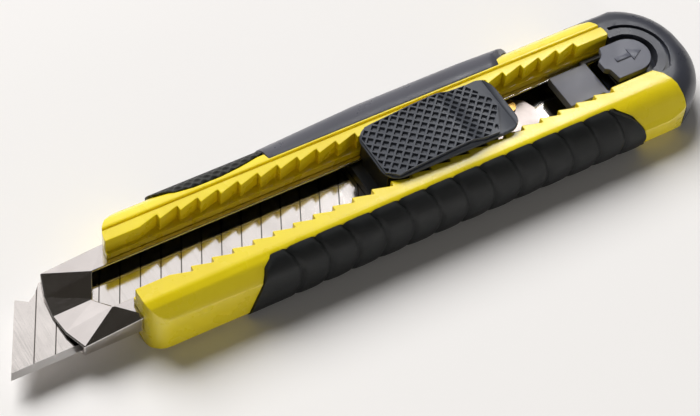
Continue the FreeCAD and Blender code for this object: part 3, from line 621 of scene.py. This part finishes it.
class KNIFE_OT_slider(bpy.types.Operator):
    """Builds the slider that carries the blade, with its pawls, lock spring and rivet"""
    bl_idname = "knife.slider"
    bl_label = "Slider"

    def execute(self, context):
        piece = moulded_copy("blade_carrier", "carrier", context.scene.knife_sizes.mould_radius * 0.7)
        give(piece, "slider",
             moulded_plastic("black_moulded_acetal", "#17181A", "#121314", roughness=0.36),
             ["blade_carrier"])
        piece = moulded_copy("lock_spring", "spring_plate", 0.1 * MM)
        give(piece, "slider",
             drawn_steel("bright_spring_steel_strip", "#D2C8C5", "#B4AAA6", roughness=0.36,
                         line_mm=0.2), ["lock_spring"])
        steel = drawn_steel("zinc_plated_steel", "#B7B5B2", "#A5A29E", roughness=0.32, line_mm=0.3)
        for node in ("near_pawl", "far_pawl", "blade_peg", "pad_return_spring"):
            paint(node, steel)
        paint("glide_rivet", drawn_steel("turned_brass", "#C9A25C", "#B58C46", roughness=0.28,
                                         line_mm=0.15))
        return {"FINISHED"}


class KNIFE_OT_thumb_pad(bpy.types.Operator):
    """Builds the thumb pad: the moulded pad, the diamond knurl standing on it and its low fin"""
    bl_idname = "knife.thumb_pad"
    bl_label = "Thumb pad"

    # the fin across the rear of the pad: ahead of the pad's rear end and sideways, in millimetres
    fin_line = ((1.9, 3.9), (1.35, 2.8), (1.1, 1.3), (1.35, -0.6), (2.0, -2.4), (2.9, -4.2))
    fin_high, fin_thick = 0.55 * MM, 0.35 * MM
    # half the width of the knurl's ridges, and the slope down from them into a pit, seen from above
    ridge, pit_slope = 0.19 * MM, 0.17 * MM
    # how far the knurl stands on the blank, how far its edge goes down, and how far the blank sinks
    stand, skirt, sunk = 0.30 * MM, 0.9 * MM, 0.28 * MM

    def knurl(self, blank, pitch, deep):
        """The knurled sheet: a slanting grid cut to the pad's outline and laid on its top, with a pit in
        each whole diamond."""
        front, rear, side = PAD_LOW.x, PAD_HIGH.x, PAD_HIGH.y
        edge, corner, above, cells = 0.35 * MM, 2.4 * MM, PAD_HIGH.z + 3 * MM, 26
        hold(None)
        bpy.ops.mesh.primitive_grid_add(x_subdivisions=cells, y_subdivisions=cells,
                                        size=cells * pitch, location=(front + 13 * MM, 0, above),
                                        rotation=(0, 0, math.radians(45)))
        sheet = take_up("diamond_knurl")
        # straight cuts along the front and both sides, across the two front corners, and three more
        # that follow the curve of the fin at the rear
        for point, away in (
            ((front + edge, 0), (-1, 0)), ((0, side - edge), (0, 1)), ((0, edge - side), (0, -1)),
            ((front + edge, side - corner), (-1, 1)), ((front + edge, corner - side), (-1, -1)),
            ((rear - 2.6 * MM, 0), (1, 0.12)), ((rear - 3.4 * MM, 3.0 * MM), (1, 0.62)),
            ((rear - 3.6 * MM, -2.6 * MM), (1, -0.55)),
        ):
            slice_off((*point, above), (*away, 0), fill=False)
        bpy.ops.object.mode_set(mode="OBJECT")
        drop_onto(sheet, blank)
        bpy.ops.object.mode_set(mode="EDIT")
        bpy.ops.mesh.select_all(action="SELECT")
        bpy.ops.transform.translate(value=(0, 0, self.stand))
        most_of_a_diamond = pitch * pitch * 0.62
        choose(sheet, "faces", lambda f: f.calc_area() > most_of_a_diamond)
        bpy.ops.mesh.inset(thickness=self.ridge, use_individual=True)
        bpy.ops.mesh.inset(thickness=self.pit_slope, depth=-deep, use_individual=True)
        choose(sheet, "edges", lambda e: e.is_boundary)
        bpy.ops.mesh.extrude_region_move(TRANSFORM_OT_translate={"value": (0, 0, -self.skirt)})
        bpy.ops.mesh.edge_face_add()
        face_outwards()
        smooth(sheet, 20)
        return sheet

    def fin(self, blank):
        """The thin curved fin behind the knurl."""
        line = section_line([(PAD_HIGH.x / MM - x, y, 22.0) for x, y in self.fin_line])
        drop_onto(line, blank)
        bpy.ops.object.mode_set(mode="EDIT")
        bpy.ops.mesh.select_all(action="SELECT")
        bpy.ops.mesh.extrude_region_move(TRANSFORM_OT_translate={"value": (0, 0, self.fin_high)})
        finish_with(line, "SOLIDIFY", thickness=self.fin_thick, offset=0.0)
        smooth(line, 40)
        return line

    def execute(self, context):
        sizes, colours = context.scene.knife_sizes, context.scene.knife_colours
        blank = moulded_copy("thumb_pad", "pad_blank", 0.35 * MM, angle=40, shade=30)
        sheet = self.knurl(blank, sizes.knurl_pitch, sizes.knurl_deep)
        # the top of the blank sinks a little, so that the pits stay open
        hold(blank)
        bpy.ops.object.mode_set(mode="EDIT")
        choose(blank, "faces", lambda f: f.normal.z > 0.86
               and f.calc_center_median().z > PAD_LOW.z + 1.5 * MM)
        bpy.ops.transform.translate(value=(0, 0, -self.sunk))
        bpy.ops.object.mode_set(mode="OBJECT")
        join_onto(blank, [sheet, self.fin(blank)])
        blank.name = "knurled_thumb_pad"
        give(blank, "pad",
             moulded_plastic("charcoal_moulded_nylon", colours.thumb_pad, colours.thumb_pad_cloud,
                             roughness=0.36, grain_mm=0.35), ["thumb_pad"])
        return {"FINISHED"}


class KNIFE_OT_tail(bpy.types.Operator):
    """Builds the end cap, its latch tongue with a plain arrow, and the plug on it"""
    bl_idname = "knife.tail"
    bl_label = "Tail cap"

    dome_wide = 32.02 * MM
    corner_radius, shoulder_radius, foot_radius = 15 * MM, 5.6 * MM, 3.0 * MM
    # the arrow is as high as this with its foot sunk in the tongue
    arrow_high, head_radius = 0.32 * MM, 1.9 * MM
    shaft_long, shaft_wide = 3.6 * MM, 1.1 * MM

    def dome(self):
        """The round-shouldered block that the tail cap is moulded to."""
        hold(None)
        front, rear, top = CAP_LOW.x - 20 * MM, CAP_HIGH.x, CAP_HIGH.z
        bpy.ops.mesh.primitive_cube_add(size=1.0, location=((front + rear) / 2, 0, top / 2),
                                        scale=(rear - front, self.dome_wide, top))
        block = take_up("dome_block")
        choose(block, "edges", lambda e: middle(e).x > rear - MM and abs(middle(e).y) > 10 * MM
               and abs(middle(e).z - top / 2) < MM)
        bpy.ops.mesh.bevel(offset=self.corner_radius, segments=20, profile=0.5, clamp_overlap=False)
        choose(block, "edges", lambda e: middle(e).x > front + MM
               and min(v.co.z for v in e.verts) > top - 0.1 * MM)
        bpy.ops.mesh.bevel(offset=self.shoulder_radius, segments=10, profile=0.5, clamp_overlap=False)
        choose(block, "edges", lambda e: middle(e).x > front + MM
               and max(v.co.z for v in e.verts) < 0.1 * MM)
        bpy.ops.mesh.bevel(offset=self.foot_radius, segments=5, profile=0.5, clamp_overlap=False)
        face_outwards()
        bpy.ops.object.mode_set(mode="OBJECT")
        return block

    def arrow(self, centre, top):
        """A plain raised arrow that points the way the cap is pulled."""
        hold(None)
        bpy.ops.mesh.primitive_circle_add(vertices=3, radius=self.head_radius, fill_type="NGON",
                                          location=(centre + 1.6 * MM, 0, top - 0.1 * MM),
                                          rotation=(0, 0, math.radians(-90)))
        head = take_up("arrow")
        bpy.ops.mesh.extrude_region_move(TRANSFORM_OT_translate={"value": (0, 0, self.arrow_high)})
        bpy.ops.object.mode_set(mode="OBJECT")
        hold(None)
        bpy.ops.mesh.primitive_cube_add(size=1.0, location=(centre - 1.2 * MM, 0, top + 0.06 * MM),
                                        scale=(self.shaft_long, self.shaft_wide, self.arrow_high))
        shaft = take_up("shaft")
        bpy.ops.object.mode_set(mode="OBJECT")
        combine(head, shaft, "UNION")
        bpy.ops.object.mode_set(mode="EDIT")
        face_outwards()
        bpy.ops.object.mode_set(mode="OBJECT")
        round_edges(head, 0.08 * MM, 40, clamp=True)
        smooth(head, 40)
        return head

    def execute(self, context):
        sizes, colours = context.scene.knife_sizes, context.scene.knife_colours
        piece = cad_copy("end_cap", "tail_cap")
        combine(piece, self.dome(), "INTERSECT")
        finish_with(piece, "TRIANGULATE")
        round_edges(piece, sizes.mould_radius * 0.6, 40, clamp=True)
        smooth(piece, 38)
        even_shading(piece)
        give(piece, "cap",
             moulded_plastic("slate_moulded_polypropylene", colours.cap, colours.cap_cloud,
                             roughness=0.30), ["end_cap"])
        piece = moulded_copy("cap_plug", "tail_plug", sizes.mould_radius)
        give(piece, "cap",
             moulded_plastic("mid_grey_moulded_plug", "#5E5F69", "#555660", roughness=0.34),
             ["cap_plug"])
        piece = moulded_copy("cap_latch", "latch_tongue", sizes.mould_radius)
        join_onto(piece, [self.arrow((LATCH_LOW.x + LATCH_HIGH.x) / 2 + 0.6 * MM, LATCH_HIGH.z)])
        give(piece, "latch",
             moulded_plastic("slate_moulded_tongue", "#5C5E69", "#52545E", roughness=0.34),
             ["cap_latch"])
        return {"FINISHED"}


class KNIFE_OT_inner_works(bpy.types.Operator):
    """Gives the pieces inside the handle their plain steel"""
    bl_idname = "knife.inner_works"
    bl_label = "Inner works"

    def execute(self, context):
        steel = drawn_steel("dull_rolled_steel", "#A9A7A4", "#95928E", roughness=0.36, line_mm=0.3)
        for node in ("channel_rivets", "magazine_spring"):
            paint(node, steel)
        return {"FINISHED"}


class KNIFE_OT_stage(bpy.types.Operator):
    """Sets out the pale table, the soft studio light and the camera"""
    bl_idname = "knife.stage"
    bl_label = "Stage"

    # each light's bearing and rise in degrees, its distance and size in metres, its power in watts, its
    # colour and what shows it. The key stands behind the knife and casts its soft shadow forwards, and a
    # weak fill lifts the near side. The card and the window are only seen mirrored, in the steel and in
    # the gloss of the plastics.
    lights = (
        ("key_softbox", 94, 48, 2.40, 1.75, 80.0, (1.0, 0.992, 0.984), "diffuse"),
        ("white_card", 80, 31.5, 1.10, 1.15, 3.6, (1.0, 0.965, 0.955), "glossy"),
        ("window", 40, 52, 1.60, 0.36, 3.0, (1.0, 1.0, 1.0), "glossy"),
        ("front_fill", -80, 9, 1.20, 0.34, 3.2, (1.0, 0.985, 0.96), "diffuse"),
    )
    # the dim room, from the horizon up to straight overhead
    room = ((0.0, "#B9B6B2"), (0.50, "#92908D"), (0.82, "#66645F"), (0.92, "#56524B"))
    room_light = 0.37
    camera_place = (-0.16301, -0.215234, 0.338783)
    camera_right = (0.859181, -0.507139, 0.067959)
    camera_up = (0.365725, 0.701558, 0.611605)
    camera_back = (-0.357846, -0.500625, 0.788239)
    camera_lens, film_wide = 107.708, 36.0

    def table(self, context):
        """A wide table of pale matt card, just under the knife."""
        hold(None)
        bpy.ops.mesh.primitive_plane_add(size=4.0, location=(0, 0, -0.02 * MM))
        table = take_up("table")
        bpy.ops.mesh.subdivide(number_cuts=3)
        bpy.ops.object.mode_set(mode="OBJECT")
        material, tree, surface, place = new_finish("pale_matt_card")
        mottle = add(tree, "TexNoise", inputs={"Vector": place, "Scale": 9.0, "Detail": 2.0})
        tint = add(tree, "ValToRGB", inputs={"Fac": mottle.outputs["Fac"]})
        tint.color_ramp.elements[0].color = linear("#F1EFEE")
        tint.color_ramp.elements[1].color = context.scene.knife_colours.floor
        tree.links.new(tint.outputs["Color"], surface.inputs["Base Color"])
        surface.inputs["Roughness"].default_value = 0.75
        table.data.materials.append(material)

    def light_up(self, context):
        """The studio lights, each turned towards the knife."""
        for name, bearing, rise, far, size, power, colour, shown_by in self.lights:
            bearing, rise = math.radians(bearing), math.radians(rise)
            spot = Vector((math.cos(bearing) * math.cos(rise), math.sin(bearing) * math.cos(rise),
                           math.sin(rise))) * far
            bpy.ops.object.light_add(type="AREA", location=spot)
            lamp = context.object
            lamp.name = name
            lamp.data.shape = "SQUARE" if name == "white_card" else "DISK"
            lamp.data.size = size
            lamp.data.energy = power
            lamp.data.color = colour
            lamp.visible_diffuse = shown_by == "diffuse"
            lamp.visible_glossy = shown_by == "glossy"
            lamp.rotation_euler = spot.to_track_quat("Z", "Y").to_euler()

    def surround(self, context):
        """The dim room around the table."""
        world = bpy.data.worlds.new("studio")
        context.scene.world = world
        world.use_nodes = True
        tree = world.node_tree
        tree.nodes.clear()
        way = add(tree, "TexCoord").outputs["Generated"]
        split = add(tree, "SeparateXYZ", inputs={"Vector": way})
        height = add(tree, "ValToRGB", inputs={"Fac": split.outputs["Z"]})
        ramp = height.color_ramp.elements
        for stop, (position, code) in zip(ramp, (self.room[0], self.room[-1])):
            stop.position, stop.color = position, linear(code)
        for position, code in self.room[1:-1]:
            ramp.new(position).color = linear(code)
        sky = add(tree, "Background", inputs={"Color": height.outputs["Color"],
                                              "Strength": self.room_light})
        add(tree, "OutputWorld", inputs={"Surface": sky.outputs["Background"]})

    def execute(self, context):
        self.table(context)
        self.light_up(context)
        self.surround(context)
        bpy.ops.object.camera_add(location=self.camera_place)
        camera = context.object
        camera.name = "camera"
        turn = Matrix((self.camera_right, self.camera_up, self.camera_back)).transposed()
        camera.rotation_euler = turn.to_euler()
        camera.data.sensor_width = self.film_wide
        camera.data.lens = self.camera_lens
        camera.data.clip_start = 0.01
        context.scene.camera = camera
        context.scene.view_settings.view_transform = "Standard"
        return {"FINISHED"}


class KNIFE_PT_panel(bpy.types.Panel):
    """Lists the settings and the pieces of the knife"""
    bl_label = "Snap-off knife"
    bl_idname = "KNIFE_PT_panel"
    bl_space_type = "VIEW_3D"
    bl_region_type = "UI"
    bl_category = "Knife"

    def draw(self, context):
        for group in (context.scene.knife_sizes, context.scene.knife_colours):
            for name in group.__annotations__:
                self.layout.prop(group, name)
        for operator in OPERATORS:
            self.layout.operator(operator.bl_idname)


OPERATORS = (KNIFE_OT_casing, KNIFE_OT_near_grip, KNIFE_OT_far_grip, KNIFE_OT_nose, KNIFE_OT_blades,
             KNIFE_OT_slider, KNIFE_OT_thumb_pad, KNIFE_OT_tail, KNIFE_OT_inner_works, KNIFE_OT_stage)
CLASSES = (KnifeColours, KnifeSizes) + OPERATORS + (KNIFE_PT_panel,)


def register():
    for each in CLASSES:
        bpy.utils.register_class(each)
    bpy.types.Scene.knife_sizes = bpy.props.PointerProperty(type=KnifeSizes)
    bpy.types.Scene.knife_colours = bpy.props.PointerProperty(type=KnifeColours)


def unregister():
    del bpy.types.Scene.knife_colours
    del bpy.types.Scene.knife_sizes
    for each in reversed(CLASSES):
        bpy.utils.unregister_class(each)


def main():
    register()
    bpy.ops.knife.casing()
    bpy.ops.knife.near_grip()
    bpy.ops.knife.far_grip()
    bpy.ops.knife.nose()
    bpy.ops.knife.blades()
    bpy.ops.knife.slider()
    bpy.ops.knife.thumb_pad()
    bpy.ops.knife.tail()
    bpy.ops.knife.inner_works()
    bpy.ops.knife.stage()


if __name__ == "__main__":
    main()
